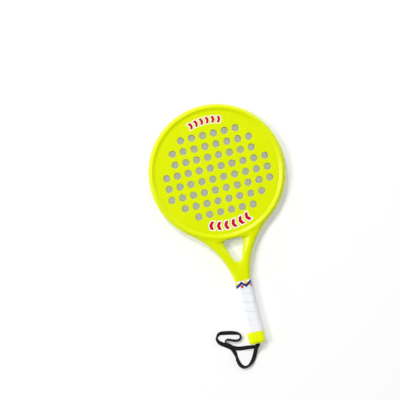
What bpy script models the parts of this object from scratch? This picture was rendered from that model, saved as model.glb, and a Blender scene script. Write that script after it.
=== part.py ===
# A perforated beach game paddle lying on its back: a two-part moulded frame that carries two
# perforated face panels, a wound grip with its collar and end band, a butt cap and a wrist strap.
# Lengths are in metres. +Y runs from the butt to the head, +Z up through the front face.
import math

import bmesh
import bpy
import numpy as np
from mathutils import Vector

for old in list(bpy.data.objects):
    bpy.data.objects.remove(old)

# Frame: head ring, throat and neck
HEAD_RADIUS = 0.117
FRAME_THICKNESS = 0.022
EDGE_RADIUS = 0.0052
WALL = 0.0018
FLARE_LENGTH = 0.0899  # from the head's edge to where the throat's sides become parallel
NECK_WIDTH = 0.025
THROAT_LENGTH = 0.071  # from the head's edge to the shoulder where the grip starts

# Throat opening, a rounded triangle
OPENING_BITE = 0.0015  # how far its top edge cuts into the head's circle
OPENING_LENGTH = 0.0402
OPENING_CORNER_X = 0.0106
OPENING_CORNER_RADIUS = 0.0062
OPENING_TIP_RADIUS = 0.008
OPENING_EDGE_RADIUS = 0.004

# Face panels and the rebates that hold them
CREST_WIDTH = 0.0015  # the flat on top of the rim
RIM_SLOPE = 0.0058  # from the crest down to the panel's edge, seen from above
FACE_RECESS = 0.0022
FACE_THICKNESS = 0.0018
LEDGE_WIDTH = 0.0036
HOLE_DIAMETER = 0.0122
HOLE_PITCH = 0.019
HOLE_ROWS = (6, 8, 8, 10, 10, 10, 8, 6)  # from the top of the head down
HOLE_MARGIN = 0.003
SLEEVE_WALL = 0.001
SLEEVE_DRAFT = 0.0004  # how much each sleeve's radius shrinks towards the rear face

# Pegs that line up the two halves of the frame
POST_RADIUS = 0.003
PEG_RADIUS = 0.0013
PEG_LENGTH = 0.004
THROAT_POST_X = 0.031
THROAT_POST_DROP = 0.0025  # below the head's edge
NECK_POST_RISE = 0.02  # above the shoulder
HANDLE_POST_DROPS = (0.026, 0.068)  # below the shoulder

# Handle core and what is wound on it
CORE_WIDTH = 0.021
CORE_THICKNESS = 0.015
CORE_CORNER = 0.0042
COLLAR_LENGTH = 0.0135
GRIP_LENGTH = 0.0765  # from the collar to the butt cap
TAPE_THICKNESS = 0.0024
TAPE_PITCH = 0.016
TAPE_SEAM = 0.00055  # gap between one turn and the next
TAPE_BEVEL = 0.0006
TAPE_TIP = 0.0016  # width of the tape at its cut ends
COLLAR_THICKNESS = 0.0004
END_BAND_LENGTH = 0.019
END_BAND_THICKNESS = 0.0003

# Butt cap
CAP_LENGTH = 0.0204
CAP_WALL = 0.0032  # around the core
CAP_FLOOR = 0.006
CAP_ROUND = 0.004

# Wrist strap, a flat woven loop
STRAP_WIDTH = 0.007
STRAP_THICKNESS = 0.001
STRAP_PAIR_GAP = 0.00045
SLOT_CLEARANCE = 0.0004
STRAP_FLOOR_GAP = 0.00005
KNOT_WIDTH = 0.012
KNOT_LENGTH = 0.009
KNOT_THICKNESS = 0.009

CLEARANCE = 0.0003

# Facets
HEAD_STEPS = 42
HEAD_SEGMENTS = 60
THROAT_STEPS = 9
ROUND_STEPS = 3
HOLE_SIDES = 10
CORNER_STEPS = 5
KNOT_SEGMENTS = 12
BIGHT_STEPS = 6
ROUTE_STEPS = 12
STRAP_SAMPLES = 78

# Finishes: linear colours and roughness
LIME = (0.74, 0.86, 0.004)
GRIP_WHITE = (0.88, 0.9, 0.91)
BAND_WHITE = (0.92, 0.92, 0.93)
STRAP_BLACK = (0.02, 0.02, 0.021)
PLASTIC_ROUGHNESS = 0.32
TAPE_ROUGHNESS = 0.6
FILM_ROUGHNESS = 0.4
STRAP_ROUGHNESS = 0.85
SHARP_ANGLE = math.radians(35)

# Strap route: x, y measured from the butt's end, roll in degrees (0 flat, 90 on edge), lift above rest
STRAP_ROUTE = (
    (-0.0030, -0.0052, 0, 0.0107),
    (-0.0058, -0.0112, 0, 0.0076),
    (-0.0088, -0.0180, 4, 0.0030),
    (-0.0130, -0.0258, 15, 0.0004),
    (-0.0190, -0.0322, 45, 0),
    (-0.0256, -0.0358, 66, 0),
    (-0.0322, -0.0358, 48, 0),
    (-0.0372, -0.0308, 30, 0),
    (-0.0398, -0.0230, 35, 0),
    (-0.0405, -0.0148, 52, 0),
    (-0.0423, -0.0059, 6, 0),
    (-0.0458, 0.0007, 0, 0),
    (-0.0518, 0.0056, 0, 0),
    (-0.0593, 0.0111, 10, 0),
    (-0.0644, 0.0160, 40, 0),
    (-0.0664, 0.0215, 60, 0),
    (-0.0646, 0.0258, 60, 0),
    (-0.0594, 0.0294, 30, 0),
    (-0.0466, 0.0276, 5, 0),
    (-0.0344, 0.0247, 25, 0),
    (-0.0272, 0.0212, 58, 0),
    (-0.0256, 0.0164, 64, 0),
    (-0.0280, 0.0126, 64, 0),
    (-0.0332, 0.0112, 60, 0),
    (-0.0387, 0.0125, 60, 0),
    (-0.0439, 0.0148, 62, 0),
    (-0.0479, 0.0164, 66, 0),
    (-0.0510, 0.0163, 74, 0.0005),
    (-0.0532, 0.0142, 78, 0.0013),
    (-0.0524, 0.0108, 50, 0.0019),
    (-0.0483, 0.0060, 12, 0.0018),
    (-0.0429, 0.0011, 0, 0.0016),
    (-0.0379, -0.0012, 0, 0.0015),
    (-0.0336, -0.0029, 0, 0.0010),
    (-0.0266, -0.0040, 0, 0.0004),
    (-0.0192, -0.0043, 8, 0.0020),
    (-0.0105, -0.0050, 20, 0.0039),
    (-0.0040, -0.0056, 25, 0.0059),
    (-0.0006, -0.0042, 10, 0.0083),
)

# Places that follow from the sizes above
NECK_REACH = HEAD_RADIUS + THROAT_LENGTH
COLLAR_END = NECK_REACH + COLLAR_LENGTH
CAP_TOP = COLLAR_END + GRIP_LENGTH
BUTT_REACH = CAP_TOP + CAP_LENGTH
HEAD_Y = (BUTT_REACH - HEAD_RADIUS) / 2
BUTT_Y = HEAD_Y - BUTT_REACH
CORE_END = BUTT_REACH - CAP_FLOOR - CLEARANCE
CAP_OFFSET = CLEARANCE + CAP_WALL
HALF = FRAME_THICKNESS / 2
MID_Z = max(HALF, CORE_THICKNESS / 2 + CAP_OFFSET)
TAPE_OUT = CLEARANCE + TAPE_THICKNESS
FACE_H = HALF - FACE_RECESS
FACE_IN_H = FACE_H - FACE_THICKNESS
CREST_RADIUS = HEAD_RADIUS - EDGE_RADIUS - CREST_WIDTH
POCKET_RADIUS = CREST_RADIUS - RIM_SLOPE
FACE_RADIUS = POCKET_RADIUS - CLEARANCE
STRAP_STACK = 2 * STRAP_THICKNESS + STRAP_PAIR_GAP
LEG_SHIFT = (STRAP_THICKNESS + STRAP_PAIR_GAP) / 2
PIVOT = Vector((0, BUTT_Y - STRAP_STACK / 2 - CLEARANCE, MID_Z))
PASS_THROUGH = 0.001  # how far a cutter runs past the face that it opens

root = bpy.data.objects.new("paddle", None)
bpy.context.collection.objects.link(root)


def finish(name, colour, roughness):
    material = bpy.data.materials.new(name)
    material.use_nodes = True
    shader = material.node_tree.nodes["Principled BSDF"]
    shader.inputs["Base Color"].default_value = (*colour, 1)
    shader.inputs["Roughness"].default_value = roughness
    shader.inputs["Metallic"].default_value = 0
    return material


def place(name, bm, origin=(0, 0, 0)):
    bmesh.ops.recalc_face_normals(bm, faces=bm.faces[:])
    mesh = bpy.data.meshes.new(name)
    bm.to_mesh(mesh)
    bm.free()
    mesh.shade_smooth()
    mesh.set_sharp_from_angle(angle=SHARP_ANGLE)
    obj = bpy.data.objects.new(name, mesh)
    obj.location = origin
    bpy.context.collection.objects.link(obj)
    obj.parent = root
    return obj


def piece(name, bm, colour, roughness, origin=(0, 0, 0)):
    obj = place(name, bm, origin)
    obj.data.materials.append(finish(name + "_finish", colour, roughness))
    return obj


def combine(target, bm, operation, label):
    tool = place(target.name + "_" + label, bm)
    tool.hide_render = True
    tool.display_type = "WIRE"
    modifier = target.modifiers.new(label, "BOOLEAN")
    modifier.operation = operation
    modifier.solver = "EXACT"
    modifier.object = tool
    return tool


def cut(target, bm, label):
    return combine(target, bm, "DIFFERENCE", label)


def join(target, bm, label):
    return combine(target, bm, "UNION", label)


# A closed skin over loops of points; a wrapped one joins its last loop to its first
def skin(loops, wrap=False, shift=0):
    bm = bmesh.new()
    rings = [[bm.verts.new(p) for p in loop] for loop in loops]
    pairs = [(a, b, 0) for a, b in zip(rings, rings[1:])]
    if wrap:
        pairs.append((rings[-1], rings[0], shift))
    else:
        bm.faces.new(rings[0][::-1])
        bm.faces.new(rings[-1])
    for a, b, step in pairs:
        count = len(a)
        for i in range(count):
            j = (i + 1) % count
            bm.faces.new((a[i], a[j], b[(j + step) % count], b[(i + step) % count]))
    return bm


def arc(x, y, radius, start, end, steps):
    angles = [start + (end - start) * k / steps for k in range(steps + 1)]
    return [(x + radius * math.cos(a), y + radius * math.sin(a)) for a in angles]


# Plan points are measured from the head's centre, heights from the mid plane of the frame
def raise_loop(points, side, height):
    return [Vector((x, HEAD_Y + y, MID_Z + side * height)) for x, y in points]


def outline(inset):
    flare_y = -(HEAD_RADIUS + FLARE_LENGTH)
    half = NECK_WIDTH / 2
    radius = (flare_y**2 + half**2 - HEAD_RADIUS**2) / (2 * (HEAD_RADIUS - half))
    flare_x = half + radius
    lean = math.atan2(flare_y, flare_x)
    low = math.pi - math.asin((-NECK_REACH - flare_y) / (radius + inset))
    right = arc(flare_x, flare_y, radius + inset, low, math.pi + lean, THROAT_STEPS)
    head = arc(0, 0, HEAD_RADIUS - inset, lean, math.pi - lean, HEAD_STEPS)
    left = [(-x, y) for x, y in reversed(right)]
    return right + head[1:-1] + left


# The frame's plate, or the hollow in it, with its edge rounded over
def plate(side, inset, base, top, radius):
    levels = [(inset, base)]
    for k in range(ROUND_STEPS + 1):
        turn = math.pi / 2 * k / ROUND_STEPS
        levels.append((inset + radius * (1 - math.cos(turn)), top - radius + radius * math.sin(turn)))
    return skin([raise_loop(outline(d), side, h) for d, h in levels])


def opening(offset):
    top_y = -(HEAD_RADIUS - OPENING_BITE) - OPENING_CORNER_RADIUS
    tip_y = -(HEAD_RADIUS - OPENING_BITE) - OPENING_LENGTH + OPENING_TIP_RADIUS
    rise = top_y - tip_y
    span = math.hypot(OPENING_CORNER_X, rise)
    swing = math.acos((OPENING_TIP_RADIUS - OPENING_CORNER_RADIUS) / span)
    normal = math.atan2(rise, OPENING_CORNER_X) - swing
    corner = OPENING_CORNER_RADIUS + offset
    right = arc(OPENING_CORNER_X, top_y, corner, normal, math.pi / 2, CORNER_STEPS)
    left = [(-x, y) for x, y in reversed(right)]
    tip_start = math.pi - normal
    tip_end = 2 * math.pi + normal
    tip = arc(0, tip_y, OPENING_TIP_RADIUS + offset, tip_start, tip_end, 2 * CORNER_STEPS)
    return right + left + tip


def prism(points, side, low, high):
    return skin([raise_loop(points, side, low), raise_loop(points, side, high)])


def ring(radius, sides=HEAD_SEGMENTS, x=0, y=0):
    return arc(x, y, radius, 0, 2 * math.pi, sides)[:-1]


def turned(profile, side, wrap=False):
    return skin([raise_loop(ring(r), side, h) for r, h in profile], wrap)


# The handle's rounded section, grown by an offset: x and height from the mid plane
def rounded(half_width, half_height, corner):
    x = half_width - corner
    z = half_height - corner
    quarter = math.pi / 2
    centres = ((x, z), (-x, z), (-x, -z), (x, -z))
    points = []
    for k, (cx, cz) in enumerate(centres):
        points += arc(cx, cz, corner, k * quarter, (k + 1) * quarter, CORNER_STEPS)
    return points


def oval(offset):
    return rounded(CORE_WIDTH / 2 + offset, CORE_THICKNESS / 2 + offset, CORE_CORNER + offset)


def station(section, reach):
    return [Vector((x, HEAD_Y - reach, MID_Z + z)) for x, z in section]


def half_bar(side, offset, base, start, end):
    upper = oval(offset)[: 2 * CORNER_STEPS + 2]
    width = CORE_WIDTH / 2 + offset
    section = [(width, base)] + upper + [(-width, base)]
    section = [(x, side * h) for x, h in section]
    return skin([station(section, start), station(section, end)])


def posts(places, side, radius, low, highs):
    bm = bmesh.new()
    for (x, y), high in zip(places, highs):
        part = skin([raise_loop(ring(radius, 2 * CORNER_STEPS, x, y), side, h) for h in (low, high)])
        bmesh.ops.recalc_face_normals(part, faces=part.faces[:])
        mesh = bpy.data.meshes.new("post")
        part.to_mesh(mesh)
        part.free()
        bm.from_mesh(mesh)
        bpy.data.meshes.remove(mesh)
    return bm


def post_places():
    throat_y = -(HEAD_RADIUS + THROAT_POST_DROP)
    throat = [(-THROAT_POST_X, throat_y), (THROAT_POST_X, throat_y), (0, NECK_POST_RISE - NECK_REACH)]
    handle = [(0, -NECK_REACH - drop) for drop in HANDLE_POST_DROPS]
    heights = [HALF - WALL / 2] * len(throat) + [CORE_THICKNESS / 2 - WALL / 2] * len(handle)
    return throat + handle, heights


# One half of the frame: head ring, throat arms and half of the hollow handle core
def frame_half(name, side, colour):
    seam = CLEARANCE / 2
    hollow = -PASS_THROUGH
    past = HALF + PASS_THROUGH
    half = piece(name, plate(side, 0, seam, HALF, EDGE_RADIUS), colour, PLASTIC_ROUGHNESS)
    join(half, half_bar(side, 0, seam, NECK_REACH - WALL, CORE_END), "core")

    ledge_h = FACE_IN_H - CLEARANCE
    pocket = [
        (POCKET_RADIUS - LEDGE_WIDTH, hollow),
        (POCKET_RADIUS - LEDGE_WIDTH, ledge_h),
        (POCKET_RADIUS, ledge_h),
        (POCKET_RADIUS, FACE_H),
        (CREST_RADIUS, HALF),
        (CREST_RADIUS, past),
    ]
    cut(half, turned(pocket, side), "pocket")

    hole = [(0, hollow), (0, HALF - OPENING_EDGE_RADIUS)]
    for k in range(1, ROUND_STEPS + 1):
        turn = math.pi / 2 * k / ROUND_STEPS
        height = HALF - OPENING_EDGE_RADIUS * (1 - math.sin(turn))
        hole.append((OPENING_EDGE_RADIUS * (1 - math.cos(turn)), height))
    hole.append((OPENING_EDGE_RADIUS, past))
    cut(half, skin([raise_loop(opening(d), side, h) for d, h in hole]), "opening")

    roof = HALF - WALL
    inner_round = EDGE_RADIUS - WALL
    channel_in = POCKET_RADIUS + WALL
    lean = math.atan2(FACE_RECESS, RIM_SLOPE)
    channel = [
        (channel_in, hollow),
        (channel_in, FACE_H - WALL * math.tan(math.pi / 4 - lean / 2)),
        (CREST_RADIUS + WALL * math.tan(lean / 2), roof),
    ]
    corner_r = HEAD_RADIUS - EDGE_RADIUS
    channel += arc(corner_r, roof - inner_round, inner_round, math.pi / 2, 0, ROUND_STEPS)
    channel.append((HEAD_RADIUS - WALL, hollow))
    ring_hollow = cut(half, turned(channel, side, wrap=True), "channel")
    cut(ring_hollow, prism(opening(WALL), side, 2 * hollow, past), "opening_wall")

    throat = cut(half, plate(side, WALL, hollow, roof, inner_round), "throat_hollow")
    cut(throat, prism(ring(HEAD_RADIUS), side, 2 * hollow, past), "head_wall")
    cut(throat, prism(opening(WALL), side, 2 * hollow, past), "opening_wall")
    end_wall = [(-NECK_WIDTH, -NECK_REACH - WALL), (NECK_WIDTH, -NECK_REACH - WALL)]
    end_wall += [(NECK_WIDTH, -NECK_REACH + WALL), (-NECK_WIDTH, -NECK_REACH + WALL)]
    cut(throat, prism(end_wall, side, 2 * hollow, past), "end_wall")
    core_start = NECK_REACH - 2 * WALL
    cut(half, half_bar(side, -WALL, hollow, core_start, CORE_END + PASS_THROUGH), "core_hollow")

    places, heights = post_places()
    join(half, posts(places, side, POST_RADIUS, seam, heights), "posts")
    if side > 0:
        depth = PEG_LENGTH + CLEARANCE
        bores = posts(places, side, PEG_RADIUS + CLEARANCE, hollow, [depth] * len(places))
        cut(half, bores, "peg_holes")
    else:
        pegs = posts(places, side, PEG_RADIUS, -PEG_LENGTH, [2 * seam + WALL] * len(places))
        join(half, pegs, "pegs")
    return half


def hole_centres():
    for row, count in enumerate(HOLE_ROWS):
        y = ((len(HOLE_ROWS) - 1) / 2 - row) * HOLE_PITCH
        for k in range(count):
            x = (k - (count - 1) / 2) * HOLE_PITCH
            reach = math.hypot(x, y) + HOLE_DIAMETER / 2 + SLEEVE_WALL + HOLE_MARGIN
            if reach < FACE_RADIUS - LEDGE_WIDTH:
                yield x, y


def fill_plane(bm, rings):
    edges = []
    for loop in rings:
        for a, b in zip(loop, loop[1:] + loop[:1]):
            edges.append(bm.edges.get((a, b)) or bm.edges.new((a, b)))
    bmesh.ops.triangle_fill(bm, use_beauty=True, edges=edges, normal=(0, 0, 1))


def wall(bm, a, b):
    for i in range(len(a)):
        j = (i + 1) % len(a)
        bm.faces.new((a[i], a[j], b[j], b[i]))


# A perforated panel; with sleeves, a tube runs on from each hole to the other panel
def face_panel(name, side, colour, sleeve_end=None):
    bm = bmesh.new()

    def circle(radius, height, sides=HEAD_SEGMENTS, x=0, y=0):
        return [bm.verts.new(p) for p in raise_loop(ring(radius, sides, x, y), side, height)]

    outer = circle(FACE_RADIUS, FACE_H)
    inner = circle(FACE_RADIUS, FACE_IN_H)
    wall(bm, outer, inner)
    front_rings = [outer]
    back_rings = [inner]
    bore = HOLE_DIAMETER / 2
    mouth_radius = bore if sleeve_end is None else bore - SLEEVE_DRAFT
    for x, y in hole_centres():
        mouth = circle(mouth_radius, FACE_H, HOLE_SIDES, x, y)
        front_rings.append(mouth)
        if sleeve_end is None:
            back = circle(bore, FACE_IN_H, HOLE_SIDES, x, y)
            wall(bm, mouth, back)
            back_rings.append(back)
        else:
            tip_in = circle(bore, sleeve_end, HOLE_SIDES, x, y)
            tip_out = circle(bore + SLEEVE_WALL, sleeve_end, HOLE_SIDES, x, y)
            foot = circle(mouth_radius + SLEEVE_WALL, FACE_IN_H, HOLE_SIDES, x, y)
            wall(bm, mouth, tip_in)
            wall(bm, tip_in, tip_out)
            wall(bm, tip_out, foot)
            back_rings.append(foot)
    fill_plane(bm, front_rings)
    fill_plane(bm, back_rings)
    return piece(name, bm, colour, PLASTIC_ROUGHNESS)


# The grip tape: one strip wound from the butt up, its ends cut square to the handle
def grip_tape(colour):
    low = -CAP_TOP + CLEARANCE
    high = -NECK_REACH - CLEARANCE
    inner = oval(CLEARANCE)
    shoulder = oval(TAPE_OUT - TAPE_BEVEL)
    outer = oval(TAPE_OUT)
    count = len(inner)
    loops = []
    lower_edge = []
    upper_edge = []
    turns = (high - low) / TAPE_PITCH + 1
    for k in range(int(turns * count) + 1):
        rise = TAPE_PITCH * k / count
        bottom = max(low, low + rise - TAPE_PITCH)
        top = min(high, low + rise - TAPE_SEAM)
        if top - bottom < TAPE_TIP:
            continue
        at = k % count
        bevel = min(TAPE_BEVEL, (top - bottom) / 3)
        rows = (
            (inner, bottom),
            (inner, top),
            (shoulder, top),
            (outer, top - bevel),
            (outer, bottom + bevel),
            (shoulder, bottom),
        )
        loop = [Vector((s[at][0], HEAD_Y + y, MID_Z + s[at][1])) for s, y in rows]
        loops.append(loop)
        lower_edge.append(loop[0])
        upper_edge.append(loop[1])
    lower = np.array(lower_edge)
    upper = np.array(upper_edge)
    apart = np.linalg.norm(lower[:, None] - upper[None], axis=2)
    index = np.arange(len(loops))
    apart[np.abs(index[:, None] - index[None]) < count // 2] = np.inf
    print("grip tape: turns %.1f, least gap to itself %.2f mm" % (len(loops) / count, apart.min() * 1000))
    return piece("grip_tape", skin(loops), colour, TAPE_ROUGHNESS)


def band(name, inside, thickness, start, end, colour):
    sections = ((inside, start), (inside + thickness, start), (inside + thickness, end), (inside, end))
    loops = [station(oval(d), reach) for d, reach in sections]
    return piece(name, skin(loops, wrap=True), colour, FILM_ROUGHNESS)


def butt_cap(colour):
    loops = [station(oval(CAP_OFFSET), CAP_TOP)]
    for k in range(ROUND_STEPS + 1):
        turn = math.pi / 2 * k / ROUND_STEPS
        inset = CAP_ROUND * (1 - math.cos(turn))
        reach = BUTT_REACH - CAP_ROUND * (1 - math.sin(turn))
        loops.append(station(oval(CAP_OFFSET - inset), reach))
    cap = piece("butt_cap", skin(loops), colour, PLASTIC_ROUGHNESS)
    socket = oval(CLEARANCE)
    socket_loops = [station(socket, CAP_TOP - PASS_THROUGH), station(socket, BUTT_REACH - CAP_FLOOR)]
    cut(cap, skin(socket_loops), "socket")
    slot_half = STRAP_STACK / 2 + SLOT_CLEARANCE
    slot = rounded(STRAP_WIDTH / 2 + SLOT_CLEARANCE, slot_half, slot_half / 2)
    slot_loops = [station(slot, BUTT_REACH - 2 * CAP_FLOOR), station(slot, BUTT_REACH + PASS_THROUGH)]
    cut(cap, skin(slot_loops), "slot")
    return cap


# The strap's knotted ends, behind the cap's floor, with two tails through its slot
def strap_knot(colour):
    knot_reach = BUTT_REACH - CAP_FLOOR - CLEARANCE - KNOT_LENGTH / 2
    bm = bmesh.new()
    bmesh.ops.create_uvsphere(bm, u_segments=KNOT_SEGMENTS, v_segments=KNOT_SEGMENTS // 2, radius=1)
    half_size = Vector((KNOT_WIDTH, KNOT_LENGTH, KNOT_THICKNESS)) / 2
    bmesh.ops.scale(bm, vec=half_size, verts=bm.verts)
    bmesh.ops.translate(bm, vec=(0, HEAD_Y - knot_reach, MID_Z), verts=bm.verts)
    knot = piece("strap_knot", bm, colour, STRAP_ROUGHNESS)
    half = STRAP_WIDTH / 2
    for label, shift in (("upper_tail", LEG_SHIFT), ("lower_tail", -LEG_SHIFT)):
        top = shift + STRAP_THICKNESS / 2
        bottom = shift - STRAP_THICKNESS / 2
        section = ((half, bottom), (half, top), (-half, top), (-half, bottom))
        join(knot, skin([station(section, knot_reach), station(section, BUTT_REACH)]), label)
    return knot


def smooth_route(points, samples):
    given = np.array(points)
    control = np.vstack((2 * given[0] - given[1], given, 2 * given[-1] - given[-2]))
    fine = []
    steps = np.linspace(0, 1, ROUTE_STEPS, endpoint=False)
    for p0, p1, p2, p3 in zip(control, control[1:], control[2:], control[3:]):
        for t in steps:
            swing = (p2 - p0) * t + (2 * p0 - 5 * p1 + 4 * p2 - p3) * t**2
            fine.append(0.5 * (2 * p1 + swing + (3 * p1 - p0 - 3 * p2 + p3) * t**3))
    fine.append(given[-1])
    fine = np.array(fine)
    along = np.concatenate(([0], np.cumsum(np.linalg.norm(np.diff(fine[:, :3], axis=0), axis=1))))
    at = np.linspace(0, along[-1], samples)
    return np.stack([np.interp(at, along, fine[:, k]) for k in range(fine.shape[1])], axis=1), along[-1]


def rest_height(roll):
    return (STRAP_WIDTH * abs(math.sin(roll)) + STRAP_THICKNESS * abs(math.cos(roll))) / 2


# The free loop: a flat ribbon from the slot's mouth round its route and back to the mouth
def wrist_strap(colour):
    up = Vector((0, 0, 1))
    route = [(0, PIVOT.y, PIVOT.z + LEG_SHIFT, 0)]
    for x, y, degrees, lift in STRAP_ROUTE:
        roll = math.radians(degrees)
        route.append((x, BUTT_Y + y, rest_height(roll) + lift, roll))
    route.append((0, PIVOT.y, PIVOT.z - LEG_SHIFT, 0))
    points, length = smooth_route(route, STRAP_SAMPLES)
    loops = []

    def section(centre, across, normal):
        half_w = across * (STRAP_WIDTH / 2)
        half_t = normal * (STRAP_THICKNESS / 2)
        offsets = (half_w + half_t, half_w - half_t, -half_w - half_t, half_t - half_w)
        loops.append([centre + d - PIVOT for d in offsets])

    last = len(points) - 1
    for k, (x, y, z, roll) in enumerate(points):
        tangent = Vector(points[min(k + 1, last)][:3]) - Vector(points[max(k - 1, 0)][:3])
        if k in (0, last):
            tangent = Vector((0, 1 if k else -1, 0))
        tangent.normalize()
        left = up.cross(tangent).normalized()
        lifted = tangent.cross(left)
        across = left * math.cos(roll) + lifted * math.sin(roll)
        lowest = (STRAP_WIDTH * abs(across.z) + STRAP_THICKNESS * abs(tangent.cross(across).z)) / 2
        section(Vector((x, y, max(z, lowest + STRAP_FLOOR_GAP))), across, tangent.cross(across))
    for k in range(1, BIGHT_STEPS):
        turn = math.pi * k / BIGHT_STEPS
        outward = Vector((0, math.sin(turn), -math.cos(turn)))
        section(PIVOT + outward * LEG_SHIFT, Vector((-1, 0, 0)), -outward)
    print("wrist strap: loop length %.0f mm" % (length * 1000))
    return piece("wrist_strap", skin(loops, wrap=True, shift=2), colour, STRAP_ROUGHNESS, PIVOT)


frame_half("front_frame", 1, LIME)
frame_half("rear_frame", -1, LIME)
face_panel("front_face", 1, LIME)
face_panel("rear_face", -1, LIME, CLEARANCE - FACE_IN_H)
grip_tape(GRIP_WHITE)
wrap_in = TAPE_OUT + CLEARANCE
collar_start = NECK_REACH + CLEARANCE
band("collar_band", wrap_in, COLLAR_THICKNESS, collar_start, COLLAR_END, BAND_WHITE)
band_start = CAP_TOP - END_BAND_LENGTH
band_end = CAP_TOP - CLEARANCE
band("grip_end_band", wrap_in, END_BAND_THICKNESS, band_start, band_end, BAND_WHITE)
butt_cap(LIME)
strap_knot(STRAP_BLACK)
wrist_strap(STRAP_BLACK)
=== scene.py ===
import math
from functools import partial

import bmesh
import bpy
import numpy as np
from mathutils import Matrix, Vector, geometry, kdtree


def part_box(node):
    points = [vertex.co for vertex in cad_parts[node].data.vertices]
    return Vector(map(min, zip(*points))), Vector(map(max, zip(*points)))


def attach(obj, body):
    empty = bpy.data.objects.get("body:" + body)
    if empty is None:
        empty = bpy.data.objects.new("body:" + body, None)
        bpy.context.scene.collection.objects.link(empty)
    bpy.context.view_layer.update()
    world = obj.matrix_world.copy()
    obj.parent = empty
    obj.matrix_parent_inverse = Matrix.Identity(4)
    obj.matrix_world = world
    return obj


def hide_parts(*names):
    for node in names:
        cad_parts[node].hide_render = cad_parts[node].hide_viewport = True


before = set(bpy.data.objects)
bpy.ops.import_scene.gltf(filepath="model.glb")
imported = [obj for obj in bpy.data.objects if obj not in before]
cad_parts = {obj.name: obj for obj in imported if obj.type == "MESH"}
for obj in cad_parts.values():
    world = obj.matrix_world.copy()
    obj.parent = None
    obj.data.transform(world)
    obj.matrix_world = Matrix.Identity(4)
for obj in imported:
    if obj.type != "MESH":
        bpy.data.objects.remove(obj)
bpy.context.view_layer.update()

scene = bpy.context.scene

# where things are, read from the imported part
frontLow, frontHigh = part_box("front_frame")
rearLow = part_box("rear_frame")[0]
panelLow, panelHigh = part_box("front_face")
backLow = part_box("rear_face")[0]
tapeLow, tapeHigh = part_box("grip_tape")
collarLow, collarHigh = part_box("collar_band")
endLow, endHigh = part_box("grip_end_band")
capLow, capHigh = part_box("butt_cap")
shoulderGap = 0.0003  # between the collar and the shoulder above it
midZ = (frontHigh.z + rearLow.z) / 2
halfThick = (frontHigh.z - rearLow.z) / 2
headRadius = frontHigh.x
panelRadius = panelHigh.x
headY = (panelLow.y + panelHigh.y) / 2
buttY = capLow.y
neckY = collarHigh.y + shoulderGap
sameSpot = 1e-6
quarterTurn = math.pi / 2
fullTurn = 2 * math.pi
print("frame loaded: %d nodes" % len(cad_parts))


def toLinear(code):
    channels = [int(code[i:i + 2], 16) / 255 for i in (1, 3, 5)]
    return [c / 12.92 if c <= 0.04045 else ((c + 0.055) / 1.055) ** 2.4 for c in channels] + [1]


# inputs go by place or by name, and a value may be a node, a socket or a plain number
def feed(node, inputs):
    for key, value in inputs.items() if isinstance(inputs, dict) else enumerate(inputs):
        source = value.outputs[0] if isinstance(value, bpy.types.Node) else value
        if isinstance(source, bpy.types.NodeSocket):
            node.id_data.links.new(source, node.inputs[key])
        else:
            node.inputs[key].default_value = source
    return node


# a kind is given without its family, and a second word is its operation
def addNode(tree, kind, inputs=(), **settings):
    name, *operation = kind.split()
    families = ("ShaderNode", "GeometryNode", "FunctionNode", "Node")
    node = tree.nodes.new(next(word + name for word in families if hasattr(bpy.types, word + name)))
    for key, value in settings.items():
        setattr(node, key, value)
    if operation:
        node.operation = operation[0]
    return feed(node, inputs)


def newMaterial(name):
    material = bpy.data.materials.new(name)
    material.use_nodes = True
    tree = material.node_tree
    return material, partial(addNode, tree), tree.nodes["Principled BSDF"]


# a Geometry Nodes tree with a named input for each size, by kind of socket
def newTree(name, **inputs):
    tree = bpy.data.node_groups.new(name, "GeometryNodeTree")
    for way in ("INPUT", "OUTPUT"):
        tree.interface.new_socket("geometry", in_out=way, socket_type="NodeSocketGeometry")
    for kind, names in inputs.items():
        for key in names.split():
            tree.interface.new_socket(key, in_out="INPUT", socket_type="NodeSocket" + kind)
    add = partial(addNode, tree)
    return tree, add, add("GroupInput").outputs


def closeTree(add, given, whole):
    real = add("RealizeInstances", [whole])
    merged = add("MergeByDistance", {"Geometry": real, "Distance": given["weld"]})
    finished = add("SetMaterial", {"Geometry": merged, "Material": given["material"]})
    add("GroupOutput", [finished])


# runs a node tree and hands back its mesh, closed and facing outwards
def meshFromNodes(name, tree, values, gap=0.00001):
    holder = bpy.data.objects.new(name + "_nodes", bpy.data.meshes.new(name))
    scene.collection.objects.link(holder)
    modifier = holder.modifiers.new("nodes", "NODES")
    modifier.node_group = tree
    for item in tree.interface.items_tree:
        if item.in_out == "INPUT" and item.name in values:
            modifier[item.identifier] = values[item.name]
    mesh = bpy.data.meshes.new_from_object(holder.evaluated_get(bpy.context.evaluated_depsgraph_get()))
    holder.modifiers.remove(modifier)
    bpy.data.objects.remove(holder)
    bm = bmesh.new()
    bm.from_mesh(mesh)
    bmesh.ops.remove_doubles(bm, verts=bm.verts[:], dist=gap)
    bmesh.ops.dissolve_degenerate(bm, edges=bm.edges[:], dist=gap / 2)
    bmesh.ops.recalc_face_normals(bm, faces=bm.faces[:])
    if bm.calc_volume(signed=True) < 0:
        bmesh.ops.reverse_faces(bm, faces=bm.faces[:])
    return mesh, bm


def meshFrom(bm, name, sharpDegrees=35):
    bmesh.ops.recalc_face_normals(bm, faces=bm.faces[:])
    mesh = bpy.data.meshes.new(name)
    bm.to_mesh(mesh)
    bm.free()
    mesh.shade_smooth()
    mesh.set_sharp_from_angle(angle=math.radians(sharpDegrees))
    return mesh


def addPiece(name, mesh, material, body, node):
    mesh.materials.clear()
    mesh.materials.append(material)
    obj = bpy.data.objects.new(name, mesh)
    scene.collection.objects.link(obj)
    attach(obj, body)
    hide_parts(node)
    print("%s: %d faces" % (name, len(mesh.polygons)))
    return obj


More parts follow.
